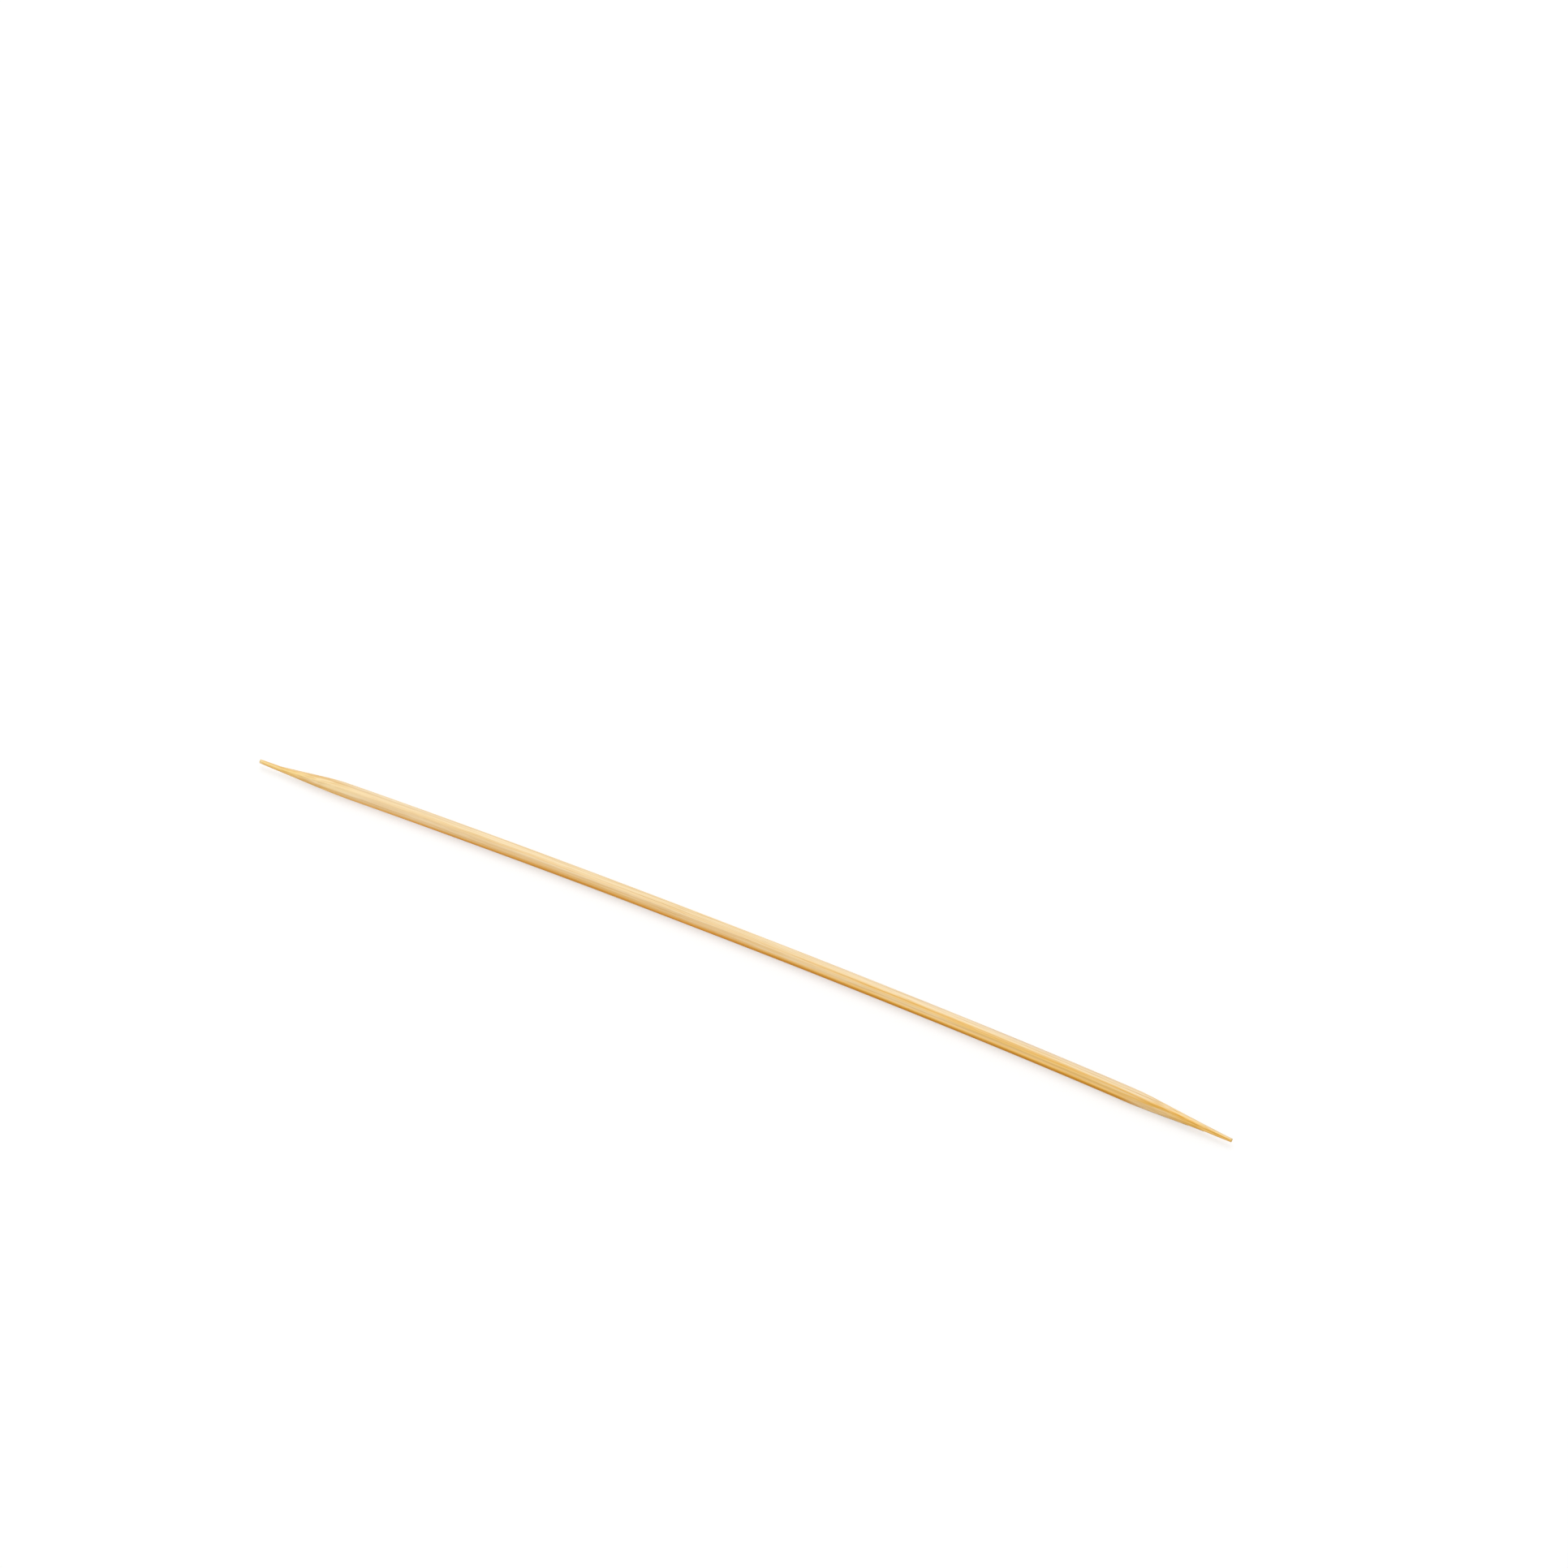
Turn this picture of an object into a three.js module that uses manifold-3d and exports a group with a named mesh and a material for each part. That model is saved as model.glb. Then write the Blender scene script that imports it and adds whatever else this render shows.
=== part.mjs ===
// Bamboo stick: one split of bamboo, rounded by a die, with long planed flats, the bow of a dried
// split and a shaved blunt point at each end. It lies on its side, on the flat under it, with its
// length along X and its bow in the plane that it lies on. Sizes are in millimetres, angles in degrees.
import * as THREE from "three";
import { mergeVertices } from "three/addons/utils/BufferGeometryUtils.js";
import Module from "manifold-3d";

// Length between the cut faces of the two tips, and thickness of the round
const LENGTH = 300;
const DIAMETER = 4.3;

// Bow, as one curve from tip to tip: how far its -X and its +X half are pulled off a straight
// line, and how far in from each tip that pull acts. It is fuller towards +X, as the split dried.
const LEFT_PULL = 4.45;
const RIGHT_PULL = 5.5;
const PULL_REACH = 75;

// Widths of the planed flats: the one it lies on, and the upper and front ones beside the ridge
const UNDER_FLAT_WIDTH = 1.3;
const UPPER_FLAT_WIDTH = 1.8;
const FRONT_FLAT_WIDTH = 1.2;

// Where the ridge runs, counted from straight down, by the back (+Y) and over the top to the front
const RIDGE_ANGLE = 211;

// Shaved points, for the -X and for the +X end: facets round it, its length, the width of its cut
// tip, and the width and length of the slim neck behind the tip. Widths are across the facets.
const LEFT_FACETS = 9;
const LEFT_POINT_LENGTH = 26;
const LEFT_TIP_WIDTH = 1.1;
const LEFT_NECK_WIDTH = 1.4;
const LEFT_NECK_LENGTH = 6.5;
const RIGHT_FACETS = 6;
const RIGHT_POINT_LENGTH = 28.5;
const RIGHT_TIP_WIDTH = 1;
const RIGHT_NECK_WIDTH = 1.6;
const RIGHT_NECK_LENGTH = 7;

// Fineness of the faceted surface: steps along the sweep, and sides on each round stretch
const SWEEP_STEPS = 40;
const ARC_SIDES = 11;

const DOWN = new THREE.Vector3(0, 0, -1);
const radius = DIAMETER / 2;
const ridge = THREE.MathUtils.degToRad(RIDGE_ANGLE);

const wasm = await Module();
wasm.setup();

function toSolid(geometry) {
  const bare = geometry.clone();
  bare.deleteAttribute("normal");
  bare.deleteAttribute("uv");
  const merged = mergeVertices(bare, 1e-5);
  const vertProperties = merged.attributes.position.array;
  const triVerts = new Uint32Array(merged.index.array);
  return new wasm.Manifold(new wasm.Mesh({ numProp: 3, vertProperties, triVerts }));
}

function toGeometry(solid) {
  const mesh = solid.getMesh();
  return new THREE.BufferGeometry()
    .setAttribute("position", new THREE.BufferAttribute(mesh.vertProperties, 3))
    .setIndex(new THREE.BufferAttribute(mesh.triVerts, 1))
    .toNonIndexed();
}

// Half of the angle that a flat of this width takes out of the round
function halfAngle(flatWidth) {
  return Math.asin(flatWidth / DIAMETER);
}

// Outline across the stick: two round stretches, joined by the flats as straight chords
function section() {
  const under = halfAngle(UNDER_FLAT_WIDTH);
  const upperStart = ridge - 2 * halfAngle(UPPER_FLAT_WIDTH);
  const frontEnd = ridge + 2 * halfAngle(FRONT_FLAT_WIDTH);
  const shape = new THREE.Shape();
  shape.absarc(0, 0, radius, under, upperStart, false);
  shape.lineTo(radius * Math.cos(ridge), radius * Math.sin(ridge));
  shape.absarc(0, 0, radius, frontEnd, 2 * Math.PI - under, false);
  return shape;
}

// Line of the bow, from the -X tip to the +X tip
function bowLine() {
  const reach = LENGTH / 2 - PULL_REACH;
  return new THREE.CubicBezierCurve3(
    new THREE.Vector3(-LENGTH / 2, 0, 0),
    new THREE.Vector3(-reach, LEFT_PULL, 0),
    new THREE.Vector3(reach, RIGHT_PULL, 0),
    new THREE.Vector3(LENGTH / 2, 0, 0),
  );
}

// Bowed split with its flats, before its ends are shaved
function bowedSplit(line) {
  return toSolid(
    new THREE.ExtrudeGeometry(section(), {
      steps: SWEEP_STEPS,
      curveSegments: ARC_SIDES,
      extrudePath: line,
    }),
  );
}

// What the shaving takes off round one end: a ring whose inner wall is the faceted point. It is
// turned about its own Y, which runs inwards from the tip, and its first edge lies at edgeAngle.
function shavings({ facets, pointLength, tipWidth, neckWidth, neckLength, edgeAngle }) {
  const cornerRatio = 1 / Math.cos(Math.PI / facets);
  const spread = (DIAMETER - neckWidth) / 2 / (pointLength - neckLength);
  const beyond = DIAMETER;
  const mouth = radius + spread * beyond;
  const ring = [
    [tipWidth / 2, -beyond],
    [tipWidth / 2, 0],
    [neckWidth / 2, neckLength],
    [mouth, pointLength + beyond],
    [mouth + beyond, pointLength + beyond],
    [mouth + beyond, -beyond],
    [tipWidth / 2, -beyond],
  ];
  const profile = ring.map(([r, along]) => new THREE.Vector2(r * cornerRatio, along));
  return new THREE.LatheGeometry(profile.reverse(), facets, edgeAngle);
}

// Sets a ring of shavings on a tip, with its axis through the middle of the round where the point starts
function setOnTip(geometry, tip, pointStart) {
  const inwards = pointStart.clone().sub(tip).normalize();
  const side = new THREE.Vector3().crossVectors(inwards, DOWN);
  const place = new THREE.Matrix4().makeBasis(side, inwards, DOWN).setPosition(tip);
  return toSolid(geometry.applyMatrix4(place));
}

// The whole stick, moved so that the origin lies under the middle of its box
function stickGeometry() {
  const line = bowLine();
  const leftShavings = shavings({
    facets: LEFT_FACETS,
    pointLength: LEFT_POINT_LENGTH,
    tipWidth: LEFT_TIP_WIDTH,
    neckWidth: LEFT_NECK_WIDTH,
    neckLength: LEFT_NECK_LENGTH,
    edgeAngle: ridge,
  });
  const rightShavings = shavings({
    facets: RIGHT_FACETS,
    pointLength: RIGHT_POINT_LENGTH,
    tipWidth: RIGHT_TIP_WIDTH,
    neckWidth: RIGHT_NECK_WIDTH,
    neckLength: RIGHT_NECK_LENGTH,
    edgeAngle: -ridge,
  });
  const leftStart = line.getPointAt(LEFT_POINT_LENGTH / LENGTH);
  const rightStart = line.getPointAt(1 - RIGHT_POINT_LENGTH / LENGTH);
  const leftWaste = setOnTip(leftShavings, line.getPointAt(0), leftStart);
  const rightWaste = setOnTip(rightShavings, line.getPointAt(1), rightStart);
  const geometry = toGeometry(bowedSplit(line).subtract(leftWaste).subtract(rightWaste));
  geometry.computeBoundingBox();
  const { min, max } = geometry.boundingBox;
  return geometry.translate(-(min.x + max.x) / 2, -(min.y + max.y) / 2, -min.z);
}

const bamboo = new THREE.MeshStandardMaterial({
  color: 0xe9c98d,
  roughness: 0.55,
  metalness: 0,
  flatShading: true,
});

const stick = new THREE.Mesh(stickGeometry(), bamboo);
stick.name = "stick";

const bambooStick = new THREE.Group();
bambooStick.add(stick);

export default bambooStick;
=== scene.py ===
import math

import bmesh
import bpy
from mathutils import Matrix, Vector, noise


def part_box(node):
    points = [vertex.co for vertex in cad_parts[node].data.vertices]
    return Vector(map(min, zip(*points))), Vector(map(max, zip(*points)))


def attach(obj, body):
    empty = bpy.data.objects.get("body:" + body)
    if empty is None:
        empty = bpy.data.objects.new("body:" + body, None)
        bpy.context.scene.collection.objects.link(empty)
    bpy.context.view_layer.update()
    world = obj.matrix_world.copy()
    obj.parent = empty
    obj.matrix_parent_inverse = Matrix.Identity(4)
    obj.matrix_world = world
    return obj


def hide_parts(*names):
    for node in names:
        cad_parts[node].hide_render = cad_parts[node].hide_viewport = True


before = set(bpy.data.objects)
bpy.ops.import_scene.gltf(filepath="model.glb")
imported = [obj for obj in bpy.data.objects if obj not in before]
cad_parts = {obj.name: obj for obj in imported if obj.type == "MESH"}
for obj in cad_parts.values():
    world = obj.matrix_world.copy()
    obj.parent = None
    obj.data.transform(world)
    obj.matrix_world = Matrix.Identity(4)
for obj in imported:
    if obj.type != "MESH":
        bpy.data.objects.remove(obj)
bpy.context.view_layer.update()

scene = bpy.context.scene

# Camera
# The photograph looks down on the stick from in front and a little to its right, through a long
# lens. The aim point and the distance set the two tips where the photograph has them.
CAMERA_AZIMUTH = math.radians(26.485)
CAMERA_ELEVATION = math.radians(49.5)
CAMERA_DISTANCE = 1.4477
CAMERA_AIM = Vector((-0.0130, 0.05629, 0.002))
LENS_PIXELS = 6300
FRAME_PIXELS = 1932
SENSOR_MM = 36.0


def make_camera():
    data = bpy.data.cameras.new("camera")
    data.sensor_width = SENSOR_MM
    data.lens = LENS_PIXELS / FRAME_PIXELS * SENSOR_MM
    data.clip_start = 0.01
    data.clip_end = 20.0
    camera = bpy.data.objects.new("camera", data)
    back = Vector((
        math.sin(CAMERA_AZIMUTH) * math.cos(CAMERA_ELEVATION),
        -math.cos(CAMERA_AZIMUTH) * math.cos(CAMERA_ELEVATION),
        math.sin(CAMERA_ELEVATION),
    ))
    camera.location = CAMERA_AIM + back * CAMERA_DISTANCE
    camera.rotation_euler = (-back).to_track_quat("-Z", "Y").to_euler()
    scene.collection.objects.link(camera)
    scene.camera = camera


make_camera()

# Floor, backdrop and light
# A plain white table that fades into white all round, under a soft overhead lamp, as in a
# product photograph. The table keeps the stick's shadow.
FLOOR_HALF = 3.0
FLOOR_COLOUR = (0.88, 0.88, 0.885, 1)
FLOOR_COLOUR_SEEN = (0.42, 0.42, 0.42, 1)
FLOOR_LIFT = 0.60
FLOOR_LIFT_FAR = 0.70
FADE_FROM = 0.35
FADE_TO = 1.2
SKY_STRENGTH = 0.80
LAMP_PLACE = Vector((-0.25, 0.55, 1.40))
LAMP_SIDE = 1.2
LAMP_WATTS = 6.5


def seen_straight(tree, kinds):
    rays = tree.nodes.new("ShaderNodeLightPath")
    total = rays.outputs[kinds[0]]
    for kind in kinds[1:]:
        larger = tree.nodes.new("ShaderNodeMath")
        larger.operation = "MAXIMUM"
        tree.links.new(total, larger.inputs[0])
        tree.links.new(rays.outputs[kind], larger.inputs[1])
        total = larger.outputs[0]
    return total


def floor_material():
    material = bpy.data.materials.new("white_table")
    material.use_nodes = True
    tree = material.node_tree
    tree.nodes.clear()
    matt = tree.nodes.new("ShaderNodeBsdfDiffuse")
    colour = tree.nodes.new("ShaderNodeMix")
    colour.data_type = "RGBA"
    colour.inputs["A"].default_value = FLOOR_COLOUR
    colour.inputs["B"].default_value = FLOOR_COLOUR_SEEN
    lift = tree.nodes.new("ShaderNodeEmission")
    place = tree.nodes.new("ShaderNodeTexCoord")
    distance = tree.nodes.new("ShaderNodeVectorMath")
    distance.operation = "LENGTH"
    fade = tree.nodes.new("ShaderNodeMapRange")
    fade.inputs["From Min"].default_value = FADE_FROM
    fade.inputs["From Max"].default_value = FADE_TO
    fade.inputs["To Min"].default_value = FLOOR_LIFT
    fade.inputs["To Max"].default_value = FLOOR_LIFT_FAR
    share = tree.nodes.new("ShaderNodeMath")
    share.operation = "MULTIPLY"
    both = tree.nodes.new("ShaderNodeAddShader")
    out = tree.nodes.new("ShaderNodeOutputMaterial")
    seen = seen_straight(tree, ["Is Camera Ray"])
    tree.links.new(seen, colour.inputs["Factor"])
    tree.links.new(colour.outputs["Result"], matt.inputs["Color"])
    tree.links.new(place.outputs["Object"], distance.inputs[0])
    tree.links.new(distance.outputs["Value"], fade.inputs["Value"])
    tree.links.new(seen, share.inputs[0])
    tree.links.new(fade.outputs[0], share.inputs[1])
    tree.links.new(share.outputs[0], lift.inputs["Strength"])
    tree.links.new(matt.outputs[0], both.inputs[0])
    tree.links.new(lift.outputs[0], both.inputs[1])
    tree.links.new(both.outputs[0], out.inputs["Surface"])
    return material


def make_floor():
    bm = bmesh.new()
    bmesh.ops.create_grid(bm, x_segments=1, y_segments=1, size=FLOOR_HALF)
    mesh = bpy.data.meshes.new("floor")
    bm.to_mesh(mesh)
    bm.free()
    mesh.materials.append(floor_material())
    floor = bpy.data.objects.new("floor", mesh)
    scene.collection.objects.link(floor)


def make_sky():
    world = bpy.data.worlds.new("white_room")
    world.use_nodes = True
    tree = world.node_tree
    sky = tree.nodes["Background"]
    sky.inputs["Color"].default_value = (1, 1, 1, 1)
    seen = seen_straight(tree, ["Is Camera Ray", "Is Glossy Ray", "Is Transmission Ray"])
    strength = tree.nodes.new("ShaderNodeMapRange")
    strength.inputs["To Min"].default_value = SKY_STRENGTH
    strength.inputs["To Max"].default_value = 1.0
    tree.links.new(seen, strength.inputs["Value"])
    tree.links.new(strength.outputs[0], sky.inputs["Strength"])
    scene.world = world


def make_lamp():
    data = bpy.data.lights.new("soft_lamp", "AREA")
    data.shape = "SQUARE"
    data.size = LAMP_SIDE
    data.energy = LAMP_WATTS
    lamp = bpy.data.objects.new("soft_lamp", data)
    lamp.location = LAMP_PLACE
    lamp.rotation_euler = (-LAMP_PLACE).to_track_quat("-Z", "Y").to_euler()
    scene.collection.objects.link(lamp)


make_floor()
make_sky()
make_lamp()
scene.view_settings.view_transform = "Standard"

# Bamboo stick
# One split of a bamboo culm, pulled through a round die and planed flat along three sides, then
# shaved to a blunt point at each end. It dried with a slight bow, and its fibres run its length.
LENGTH = 0.300
RADIUS = 0.00215
LEFT_PULL = 0.00445
RIGHT_PULL = 0.0055
PULL_REACH = 0.075
RIDGE = math.radians(211)
UNDER_FLAT = 0.0013
UPPER_FLAT = 0.0018
FRONT_FLAT = 0.0012
WORN_RIDGE = 0.00013
SHOULDER_REACH = 0.01
NECK_SAG = 0.00025
NECK_SAG_TURN = math.radians(307)
LEFT_POINT = {
    "facets": 9, "length": 0.026, "tip": 0.0011, "neck": 0.0014, "neck_length": 0.0065, "worn": 0.0003,
}
RIGHT_POINT = {
    "facets": 6, "length": 0.0285, "tip": 0.0010, "neck": 0.0016, "neck_length": 0.007, "worn": 0.00005,
}

SIDES = 144
RINGS = 380
END_CROWDING = 0.075
CUT_FACE_RINGS = (0.16, 0.18, 0.2, 0.22)

RIPPLE_DEPTH = 0.00003
RIPPLE_LENGTH = 0.045
RIPPLE_WIDTH = 0.003
RIPPLE_SEED = 7
FIBRE_DEPTH = 0.000016
FIBRE_WIDTH = 0.00032
FIBRE_LENGTH = 0.055
CHIP_STARTS = (0.0132, 0.0088)
CHIP_DEPTH = 0.00034
CHIP_RUN_OUT = 0.0045
CHIP_TURN = math.radians(303)
CHIP_HALF_WIDTH = math.radians(34)
CHIP_RAGGED = 0.0006
CHIP_TEETH = 9
SAW_MARK_DEPTH = 0.00005
SAW_MARK_SIZE = 0.00012
SAW_MARK_SEED = 9
CUT_FACE_EDGE = 1e-6
BOW_STEPS = 1000

# Direction of the culm's golden skin, which is also the stick's lower side, turned from the lamp: the
# bands keyed to it carry painted shade there as well as the skin's colour.
SKIN_AND_SHADE_SIDE = (0, -0.795, -0.606)
CORE_RADIUS = 0.0005
WANDER = 0.00013
WANDER_LENGTH = 0.009
WANDER_WIDTH = 0.003
BUNDLE_LENGTH = 0.11
BUNDLE_WIDTH = 0.00052
LEFT_SHOULDER = (-0.139, -0.131, -0.124, -0.112)
RIGHT_SHOULDER = (0.117, 0.125, 0.128, 0.138)
LEAST_ROUGHNESS = 0.48
MOST_ROUGHNESS = 0.64
SPECULAR = 0.12
GRAIN_BUMP = 0.35
GRAIN_BUMP_HEIGHT = 0.00004


def blank_rod():
    """A straight rod along X, with a column of edges on the ridge and rings on its cut faces."""
    step = 2 * math.pi / SIDES
    turn = Matrix.Rotation(RIDGE % step, 4, "X") @ Matrix.Rotation(math.pi / 2, 4, "Y")
    bm = bmesh.new()
    bmesh.ops.create_cone(
        bm, cap_ends=True, cap_tris=False, segments=SIDES, radius1=1, radius2=1,
        depth=1, matrix=turn,
    )
    long_edges = [e for e in bm.edges if abs(e.verts[0].co.x - e.verts[1].co.x) > 0.5]
    bmesh.ops.subdivide_edges(bm, edges=long_edges, cuts=RINGS - 1)
    caps = [f for f in bm.faces if len(f.verts) == SIDES]
    for cap in caps:
        for thickness in CUT_FACE_RINGS:
            bmesh.ops.inset_individual(bm, faces=[cap], thickness=thickness)
    bmesh.ops.poke(bm, faces=caps)
    return bm


def softer_least(a, b, wear):
    """The lesser of two distances, with the edge between them worn round."""
    near = max(wear - abs(a - b), 0.0) / wear
    return min(a, b) - near * near * wear / 4


def planed_radius(turn):
    """Distance from the middle of the round to its skin or to a flat, at this turn round it."""
    under = math.asin(UNDER_FLAT / 2 / RADIUS)
    upper = math.asin(UPPER_FLAT / 2 / RADIUS)
    front = math.asin(FRONT_FLAT / 2 / RADIUS)
    reach = RADIUS
    for facing, half in ((0.0, under), (RIDGE - upper, upper), (RIDGE + front, front)):
        slant = math.cos(turn - facing)
        if slant > 0.5:
            reach = softer_least(reach, RADIUS * math.cos(half) / slant, WORN_RIDGE)
    return reach


def shaved_radius(turn, from_tip, lean, point):
    """Distance from the bow's line to the facet at this turn, on a point whose axis leans off it."""
    neck, tip = point["neck"], point["tip"]
    if from_tip < point["neck_length"]:
        width = tip + (neck - tip) * from_tip / point["neck_length"]
    else:
        taper = (2 * RADIUS - neck) / (point["length"] - point["neck_length"])
        width = neck + taper * (from_tip - point["neck_length"])
    facet = 2 * math.pi / point["facets"]
    off_centre = (turn - RIDGE) % facet - facet / 2
    return (width / 2 - lean * math.sin(turn - off_centre)) / math.cos(off_centre)


def chip_depth(turn, from_tip):
    """Depth of the two steps where fibres are torn off the right point's lower edge."""
    away = (turn - CHIP_TURN + math.pi) % (2 * math.pi) - math.pi
    if abs(away) > CHIP_HALF_WIDTH:
        return 0.0
    across = math.cos(away / CHIP_HALF_WIDTH * math.pi / 2)
    depth = 0.0
    for start in CHIP_STARTS:
        into = start + CHIP_RAGGED * math.sin(CHIP_TEETH * away) - from_tip
        if 0 < into < CHIP_RUN_OUT:
            depth += CHIP_DEPTH * across * (1 - into / CHIP_RUN_OUT)
    return depth


def relief(along, turn):
    """Height of the skin's slow ripple and of its raised fibres over the smooth form."""
    y, z = RADIUS * math.sin(turn), -RADIUS * math.cos(turn)
    swell = Vector((along / RIPPLE_LENGTH, y / RIPPLE_WIDTH, z / RIPPLE_WIDTH + RIPPLE_SEED))
    fibre = noise.noise(Vector((along / FIBRE_LENGTH, y / FIBRE_WIDTH, z / FIBRE_WIDTH)))
    return RIPPLE_DEPTH * noise.noise(swell) + FIBRE_DEPTH * (fibre - abs(fibre))


def bow_frame(share):
    """Point and heading of the bow's line, at this share of the way from the left tip."""
    reach = LENGTH / 2 - PULL_REACH
    a, b = Vector((-LENGTH / 2, 0, 0)), Vector((-reach, LEFT_PULL, 0))
    c, d = Vector((reach, RIGHT_PULL, 0)), Vector((LENGTH / 2, 0, 0))
    rest = 1 - share
    point = a * rest**3 + b * 3 * share * rest**2 + c * 3 * share**2 * rest + d * share**3
    heading = (b - a) * rest**2 + (c - b) * 2 * share * rest + (d - c) * share**2
    return point, heading.normalized()


def point_slope(point, end):
    """Rise per length of a point's axis, from its tip to the bow's line where the point starts."""
    start = point["length"] / LENGTH
    middle = bow_frame(start if end < 0 else 1 - start)[0]
    return middle.y / (LENGTH / 2 - abs(middle.x))


def neck_sag(from_left):
    """How far the left point's slim neck lies off its axis, towards its straight lower edge."""
    neck_length, length = LEFT_POINT["neck_length"], LEFT_POINT["length"]
    share = min(from_left / neck_length, (length - from_left) / (length - neck_length))
    off_axis = NECK_SAG * max(share, 0.0)
    return Vector((0, off_axis * math.sin(NECK_SAG_TURN), -off_axis * math.cos(NECK_SAG_TURN)))


def shape_rod(bm):
    """Shaves, roughens and bows the straight rod, and keeps each point's place in the straight one."""
    left_slope, right_slope = point_slope(LEFT_POINT, -1), point_slope(RIGHT_POINT, 1)
    grain = bm.verts.layers.float_vector.new("grain")
    for v in bm.verts:
        place = v.co.x + 0.5
        share = place - END_CROWDING * math.sin(2 * math.pi * place)
        turn = math.atan2(v.co.y, -v.co.z) % (2 * math.pi)
        fraction = min(math.hypot(v.co.y, v.co.z), 1.0)
        middle, heading = bow_frame(share)
        from_left, from_right = middle.x + LENGTH / 2, LENGTH / 2 - middle.x
        reach = planed_radius(turn)
        for from_tip, slope, point in (
            (from_left, left_slope, LEFT_POINT), (from_right, right_slope, RIGHT_POINT),
        ):
            if from_tip < point["length"] + SHOULDER_REACH:
                lean = middle.y - from_tip * slope
                shaved = shaved_radius(turn, from_tip, lean, point)
                reach = softer_least(reach, shaved, point["worn"])
        reach += relief(middle.x, turn) * min(1.0, reach / RADIUS)
        reach -= chip_depth(turn, from_right)
        y, z = reach * fraction * math.sin(turn), -reach * fraction * math.cos(turn)
        cut = 0.0
        if place < CUT_FACE_EDGE or place > 1 - CUT_FACE_EDGE:
            marks = Vector((place * SAW_MARK_SEED, y / SAW_MARK_SIZE, z / SAW_MARK_SIZE))
            cut = SAW_MARK_DEPTH * noise.noise(marks)
        v[grain] = Vector((middle.x + cut, y, z))
        side = Vector((-heading.y, heading.x, 0))
        v.co = middle + heading * cut + side * y + Vector((0, 0, z)) + neck_sag(from_left)


def set_in_box(bm, node):
    """Moves the stick to where its CAD solid lies, by the back of its bow and the flat under it."""
    low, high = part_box(node)
    bow_top = max(bow_frame(step / BOW_STEPS)[0].y for step in range(BOW_STEPS + 1))
    under = RADIUS * math.cos(math.asin(UNDER_FLAT / 2 / RADIUS))
    offset = Vector(((low[0] + high[0]) / 2, high[1] - RADIUS - bow_top, low[2] + under))
    bmesh.ops.translate(bm, verts=bm.verts, vec=offset)


def make_stick():
    bm = blank_rod()
    shape_rod(bm)
    set_in_box(bm, "stick")
    bmesh.ops.recalc_face_normals(bm, faces=bm.faces)
    for face in bm.faces:
        face.smooth = True
    mesh = bpy.data.meshes.new("bamboo_stick")
    bm.to_mesh(mesh)
    bm.free()
    stick = bpy.data.objects.new("bamboo_stick", mesh)
    scene.collection.objects.link(stick)
    return stick


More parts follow.
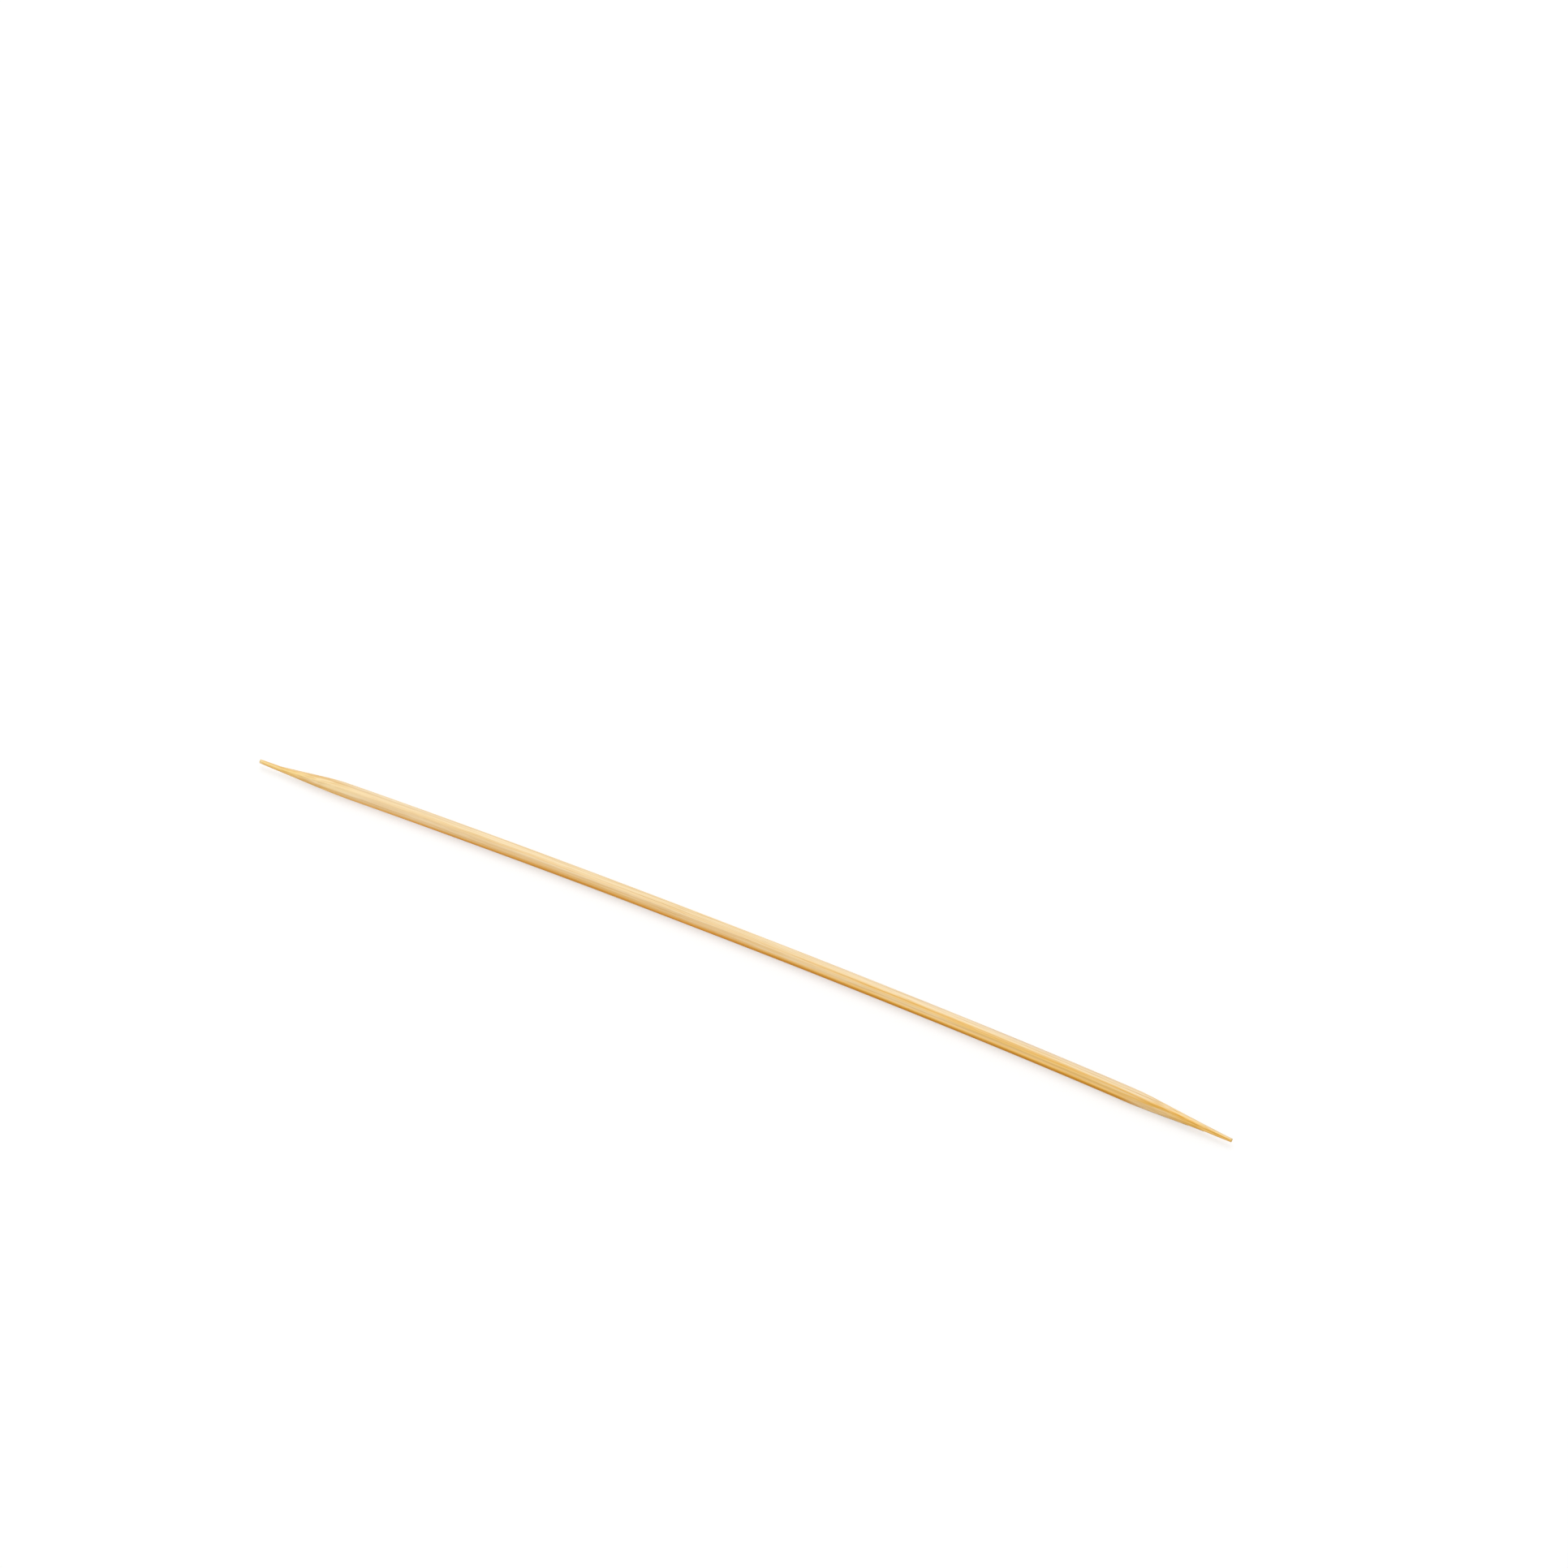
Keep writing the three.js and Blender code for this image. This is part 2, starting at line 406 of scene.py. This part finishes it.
class BambooPattern:
    """The bamboo's colours and fibres, as nodes that read each point's place in the straight split."""

    def __init__(self, tree):
        self.tree = tree
        self.grain = self.node("Attribute", attribute_name="grain").outputs["Vector"]
        parts = self.node("SeparateXYZ")
        self.feed(self.grain, parts.inputs[0])
        self.along = parts.outputs["X"]
        self.fibres = self.wandering_fibres()
        self.towards_skin_and_shade = self.turn_to_skin_and_shade()
        self.waver = self.ranged(self.streaks(0.07, 0.002), 0.2, 0.8, -1.0, 1.0, "LINEAR")
        self.rightwards = self.calc("ADD", self.along, self.calc("MULTIPLY", self.waver, 0.02))
        self.pale_skin_shade_turn = self.depth(0.14)
        self.golden_skin_shade_turn = self.depth(0.05)
        self.unshaved = self.ranged(self.rightwards, -0.139, -0.122)
        self.at_points = self.ranged(self.calc("ABSOLUTE", self.along, 0.0), 0.116, 0.132)
        # Pale marks are kept off the lower edge, where the bands paint shade, and are thinned on the
        # left point.
        off_skin_and_shade = self.ranged(self.pale_skin_shade_turn, 0.66, 0.88, 1.0, 0.03)
        self.pale_room = self.calc("MULTIPLY", off_skin_and_shade, self.between(0.4, 1.0, self.unshaved))

    def node(self, kind, **settings):
        made = self.tree.nodes.new("ShaderNode" + kind)
        for name, value in settings.items():
            setattr(made, name, value)
        return made

    def feed(self, value, socket):
        if isinstance(value, bpy.types.NodeSocket):
            self.tree.links.new(value, socket)
        elif socket.type == "RGBA":
            socket.default_value = (*value, 1)
        else:
            socket.default_value = value

    def calc(self, operation, a, b):
        out = self.node("Math", operation=operation)
        self.feed(a, out.inputs[0])
        self.feed(b, out.inputs[1])
        return out.outputs[0]

    def ranged(self, value, low, high, to_low=0.0, to_high=1.0, kind="SMOOTHSTEP"):
        out = self.node("MapRange", interpolation_type=kind)
        self.feed(value, out.inputs["Value"])
        limits = {"From Min": low, "From Max": high, "To Min": to_low, "To Max": to_high}
        for name, number in limits.items():
            out.inputs[name].default_value = number
        return out.outputs[0]

    def between(self, at_none, at_all, share):
        """From one number to the other, in step with a share of 0 to 1."""
        return self.ranged(share, 0, 1, at_none, at_all, "LINEAR")

    def patch(self, places):
        """A share that rises from the first place along the stick to the second, and later falls."""
        rise_from, rise_to, fall_from, fall_to = places
        rise = self.ranged(self.along, rise_from, rise_to)
        fall = self.ranged(self.along, fall_from, fall_to, 1.0, 0.0)
        return self.calc("MULTIPLY", rise, fall)

    def mixed(self, base, colour, share):
        out = self.node("Mix", data_type="RGBA")
        self.feed(base, out.inputs["A"])
        self.feed(colour, out.inputs["B"])
        self.feed(share, out.inputs["Factor"])
        return out.outputs["Result"]

    def ramp(self, value, stops):
        out = self.node("ValToRGB")
        elements = out.color_ramp.elements
        elements[0].position = stops[0][0]
        elements[1].position = stops[-1][0]
        for position, _ in stops[1:-1]:
            elements.new(position)
        for element, (_, colour) in zip(elements, stops):
            element.color = (*colour, 1)
        self.feed(value, out.inputs["Fac"])
        return out.outputs["Color"]

    def stretched(self, place, along, across):
        by = self.node("VectorMath", operation="MULTIPLY")
        by.inputs[1].default_value = (1 / along, 1 / across, 1 / across)
        self.feed(place, by.inputs[0])
        return by.outputs[0]

    def streaks(self, along, across, detail=2.0):
        """Noise drawn out along the fibres, with marks about this long and this wide."""
        out = self.node("TexNoise")
        out.inputs["Scale"].default_value = 1.0
        out.inputs["Detail"].default_value = detail
        self.feed(self.stretched(self.fibres, along, across), out.inputs["Vector"])
        return out.outputs["Fac"]

    def wandering_fibres(self):
        """Place along the fibres, which wander a little from side to side."""
        bend = self.node("TexNoise")
        bend.inputs["Scale"].default_value = 1.0
        self.feed(self.stretched(self.grain, WANDER_LENGTH, WANDER_WIDTH), bend.inputs["Vector"])
        wander = self.node("MapRange", data_type="FLOAT_VECTOR")
        wander.inputs["To Min"].default_value = (0, -WANDER, -WANDER)
        wander.inputs["To Max"].default_value = (0, WANDER, WANDER)
        self.feed(bend.outputs["Color"], wander.inputs["Vector"])
        moved = self.node("VectorMath", operation="ADD")
        self.feed(self.grain, moved.inputs[0])
        self.feed(wander.outputs["Vector"], moved.inputs[1])
        return moved.outputs[0]

    def turn_to_skin_and_shade(self):
        """How far round a point lies, from the culm's pale inner side, -1, to its golden skin, 1.

        Its golden end, 1, is also the stick's lower side, turned down from the lamp, so the bands keyed
        to it carry painted shade as well as the skin's own colour. It goes by the turn round the stick
        and not by the depth, so that the shaved points show the bands of the round part too. Towards the
        core of the cut tips it fades to the middle, 0.
        """
        across = self.node("VectorMath", operation="MULTIPLY")
        across.inputs[1].default_value = (0, 1, 1)
        self.feed(self.grain, across.inputs[0])
        radius = self.node("VectorMath", operation="LENGTH")
        self.feed(across.outputs[0], radius.inputs[0])
        towards = self.node("VectorMath", operation="DOT_PRODUCT")
        towards.inputs[1].default_value = SKIN_AND_SHADE_SIDE
        self.feed(self.grain, towards.inputs[0])
        beyond_core = self.calc("MAXIMUM", radius.outputs["Value"], CORE_RADIUS)
        return self.calc("DIVIDE", towards.outputs["Value"], beyond_core)

    def depth(self, wavering):
        """The turn to the skin and its painted shade, as 0 to 1, with the bands' edges wavering along
        the stick.
        """
        wavered = self.calc("ADD", self.towards_skin_and_shade, self.calc("MULTIPLY", self.waver, wavering))
        return self.ranged(wavered, -1, 1, 0, 1, "LINEAR")

    def round_part(self):
        """Bands across the round part, pale for most of its length and golden towards the right, with
        painted light on top and painted shade along the lower edge.
        """
        paler_end = self.ranged(self.along, -0.13, -0.05, -0.14, 0.0)
        # Each ramp runs from the top edge to the lower edge: lighter on top with painted light, darker
        # golden-brown along the lower edge with painted shade and painted warm bounce light, over the
        # culm's own colours.
        pale_part = self.ramp(self.calc("ADD", self.pale_skin_shade_turn, paler_end), (
            (0.00, (0.86, 0.66, 0.41)),
            (0.06, (0.95, 0.74, 0.44)),
            (0.20, (0.93, 0.72, 0.42)),
            (0.33, (0.91, 0.66, 0.34)),
            (0.55, (0.88, 0.61, 0.31)),
            (0.70, (0.86, 0.56, 0.24)),
            (0.81, (0.84, 0.45, 0.11)),
            (0.89, (0.76, 0.33, 0.03)),
            (0.95, (0.63, 0.24, 0.01)),
            (1.00, (0.76, 0.46, 0.15)),
        ))
        golden_part = self.ramp(self.golden_skin_shade_turn, (
            (0.02, (0.79, 0.60, 0.40)),
            (0.12, (0.92, 0.72, 0.45)),
            (0.18, (0.98, 0.79, 0.52)),
            (0.23, (0.98, 0.78, 0.49)),
            (0.30, (0.93, 0.67, 0.31)),
            (0.35, (0.84, 0.51, 0.16)),
            (0.40, (0.82, 0.42, 0.04)),
            (0.44, (0.87, 0.50, 0.10)),
            (0.50, (0.96, 0.62, 0.20)),
            (0.57, (0.88, 0.56, 0.18)),
            (0.64, (0.74, 0.46, 0.15)),
            (0.72, (0.94, 0.61, 0.24)),
            (0.79, (1.00, 0.62, 0.18)),
            (0.85, (0.80, 0.40, 0.04)),
            (0.90, (0.64, 0.26, 0.01)),
            (0.96, (0.60, 0.25, 0.01)),
            (1.00, (0.74, 0.44, 0.13)),
        ))
        return self.mixed(pale_part, golden_part, self.ranged(self.rightwards, -0.01, 0.06))

    def with_shaved_points(self, colour):
        """The two points, a warmer gold where the knife went through the fibres, with painted light on
        the left point's middle facets and painted shade on the right point's front facets.
        """
        # The left point's ramp is brightest on its middle facets, painted light where they face the
        # light, over the gold of the cut fibres.
        left_point_gold_and_light = self.ramp(self.pale_skin_shade_turn, (
            (0.05, (0.74, 0.44, 0.15)),
            (0.20, (0.88, 0.57, 0.19)),
            (0.36, (1.00, 0.74, 0.31)),
            (0.50, (1.00, 0.75, 0.30)),
            (0.62, (1.00, 0.69, 0.23)),
            (0.75, (0.98, 0.60, 0.16)),
            (0.88, (0.84, 0.50, 0.14)),
            (1.00, (0.70, 0.43, 0.16)),
        ))
        colour = self.mixed(left_point_gold_and_light, colour, self.between(0.12, 1.0, self.unshaved))
        wider_pale = self.ranged(self.along, 0.132, 0.148, 0.0, -0.13)
        # The right point's ramp is pale on its upper facets and darker gold on its front ones, partly
        # the cut fibres' colour and partly painted shade on the facets turned from the lamp.
        right_point_gold_and_shade = self.ramp(self.calc("ADD", self.golden_skin_shade_turn, wider_pale), (
            (0.05, (0.86, 0.66, 0.39)),
            (0.20, (1.00, 0.72, 0.33)),
            (0.30, (0.98, 0.62, 0.20)),
            (0.38, (0.73, 0.34, 0.02)),
            (0.52, (0.87, 0.46, 0.06)),
            (0.66, (0.93, 0.51, 0.08)),
            (0.78, (0.75, 0.40, 0.08)),
            (0.88, (0.64, 0.38, 0.12)),
            (1.00, (0.58, 0.36, 0.13)),
        ))
        return self.mixed(colour, right_point_gold_and_shade, self.ranged(self.rightwards, 0.120, 0.135, 0.0, 0.85))

    def with_shoulders_and_tips(self, colour):
        """Pale and greyer patches where the knife ran into the shoulders, and the two cut tips: the left
        one paler with painted light, the right one darker.
        """
        left_shoulder = self.patch(LEFT_SHOULDER)
        high_edge = self.ranged(self.pale_skin_shade_turn, 0.1, 0.3)
        low_edge = self.ranged(self.pale_skin_shade_turn, 0.66, 0.80, 0.6, 0.0)
        front_side = self.calc("MULTIPLY", high_edge, low_edge)
        colour = self.mixed(colour, (1.00, 0.80, 0.46), self.calc("MULTIPLY", left_shoulder, front_side))
        right_shoulder = self.patch(RIGHT_SHOULDER)
        high_side = self.ranged(self.golden_skin_shade_turn, 0.16, 0.38, 0.6, 0.0)
        colour = self.mixed(colour, (0.94, 0.77, 0.56), self.calc("MULTIPLY", right_shoulder, high_side))
        low_side = self.ranged(self.golden_skin_shade_turn, 0.55, 0.68, 0.0, 0.6)
        colour = self.mixed(colour, (0.80, 0.61, 0.36), self.calc("MULTIPLY", right_shoulder, low_side))
        # The left cut tip is made paler with painted light.
        left_tip_painted_light = self.ranged(self.along, -0.1496, -0.1488, 0.6, 0.0)
        colour = self.mixed(colour, (0.96, 0.80, 0.48), left_tip_painted_light)
        right_tip = self.ranged(self.along, 0.14980, 0.14990, 0.0, 0.5)
        return self.mixed(colour, (0.70, 0.50, 0.18), right_tip)

    def with_washes(self, colour):
        """Washes along the grain, paler away from the skin and the lower edge's painted shade, and more
        golden away from the left point.
        """
        pale = self.ranged(self.streaks(0.020, 0.0022, 3.0), 0.50, 0.70, 0.0, 0.28)
        colour = self.mixed(colour, (0.98, 0.80, 0.52), self.calc("MULTIPLY", pale, self.pale_room))
        golden = self.ranged(self.streaks(0.028, 0.0011, 3.0), 0.52, 0.72, 0.0, 0.30)
        golden_room = self.between(0.3, 1.0, self.unshaved)
        return self.mixed(colour, (0.84, 0.50, 0.13), self.calc("MULTIPLY", golden, golden_room))

    def with_bundles(self, colour):
        """Fibre bundles cut along, as broken tan lines, and pale threads between them."""
        bundles = self.node("TexVoronoi", voronoi_dimensions="3D", feature="F1")
        bundles.inputs["Scale"].default_value = 1.0
        self.feed(self.stretched(self.fibres, BUNDLE_LENGTH, BUNDLE_WIDTH), bundles.inputs["Vector"])
        lines = self.ranged(bundles.outputs["Distance"], 0.10, 0.42, 0.6, 0.0)
        broken = self.ranged(self.streaks(0.018, 0.0006), 0.36, 0.60)
        colour = self.mixed(colour, (0.66, 0.38, 0.10), self.calc("MULTIPLY", lines, broken))
        threads = self.ranged(self.streaks(0.055, 0.00045), 0.54, 0.66, 0.0, 0.42)
        return self.mixed(colour, (0.98, 0.82, 0.55), self.calc("MULTIPLY", threads, self.pale_room))

    def with_hairs(self, colour):
        """Hair-fine fibres, tan and pale side by side, the pale ones fewer on the points."""
        hairs = self.streaks(0.045, 0.00023, 1.0)
        colour = self.mixed(colour, (0.68, 0.41, 0.12), self.ranged(hairs, 0.54, 0.70, 0.0, 0.34))
        room = self.calc("MULTIPLY", self.pale_room, self.between(1.0, 0.4, self.at_points))
        pale = self.calc("MULTIPLY", self.ranged(hairs, 0.30, 0.46, 0.34, 0.0), room)
        return self.mixed(colour, (1.00, 0.86, 0.60), pale)

    def with_opened_bundles(self, colour):
        """Bundles that the knife laid open on the two points, as short golden and pale lines."""
        laid_open = self.streaks(0.013, 0.00032, 1.0)
        golden = self.calc("MULTIPLY", self.ranged(laid_open, 0.52, 0.66, 0.0, 0.5), self.at_points)
        colour = self.mixed(colour, (0.74, 0.41, 0.06), golden)
        pale = self.calc("MULTIPLY", self.ranged(laid_open, 0.34, 0.48, 0.4, 0.0), self.at_points)
        return self.mixed(colour, (1.00, 0.72, 0.30), pale)

    def with_flecks(self, colour):
        """Short brown flecks of single pores."""
        flecks = self.ranged(self.streaks(0.006, 0.00016, 1.0), 0.66, 0.76, 0.0, 0.28)
        return self.mixed(colour, (0.48, 0.26, 0.08), flecks)


def bamboo_material():
    material = bpy.data.materials.new("bamboo")
    material.use_nodes = True
    shader = material.node_tree.nodes["Principled BSDF"]
    bamboo = BambooPattern(material.node_tree)
    colour = bamboo.round_part()
    colour = bamboo.with_shaved_points(colour)
    colour = bamboo.with_shoulders_and_tips(colour)
    colour = bamboo.with_washes(colour)
    colour = bamboo.with_bundles(colour)
    colour = bamboo.with_hairs(colour)
    colour = bamboo.with_opened_bundles(colour)
    colour = bamboo.with_flecks(colour)
    bamboo.feed(colour, shader.inputs["Base Color"])

    # Bare bamboo is satin, a little rougher in some fibres than in others
    fibres = bamboo.streaks(0.05, 0.0004)
    satin = bamboo.ranged(fibres, 0.25, 0.75, LEAST_ROUGHNESS, MOST_ROUGHNESS, "LINEAR")
    bamboo.feed(satin, shader.inputs["Roughness"])
    shader.inputs["Specular IOR Level"].default_value = SPECULAR
    bump = bamboo.node("Bump")
    bump.inputs["Strength"].default_value = GRAIN_BUMP
    bump.inputs["Distance"].default_value = GRAIN_BUMP_HEIGHT
    bamboo.feed(bamboo.streaks(0.017, 0.00011, 3.0), bump.inputs["Height"])
    bamboo.feed(bump.outputs["Normal"], shader.inputs["Normal"])
    return material


stick = make_stick()
stick.data.materials.append(bamboo_material())
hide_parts("stick")
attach(stick, "root")
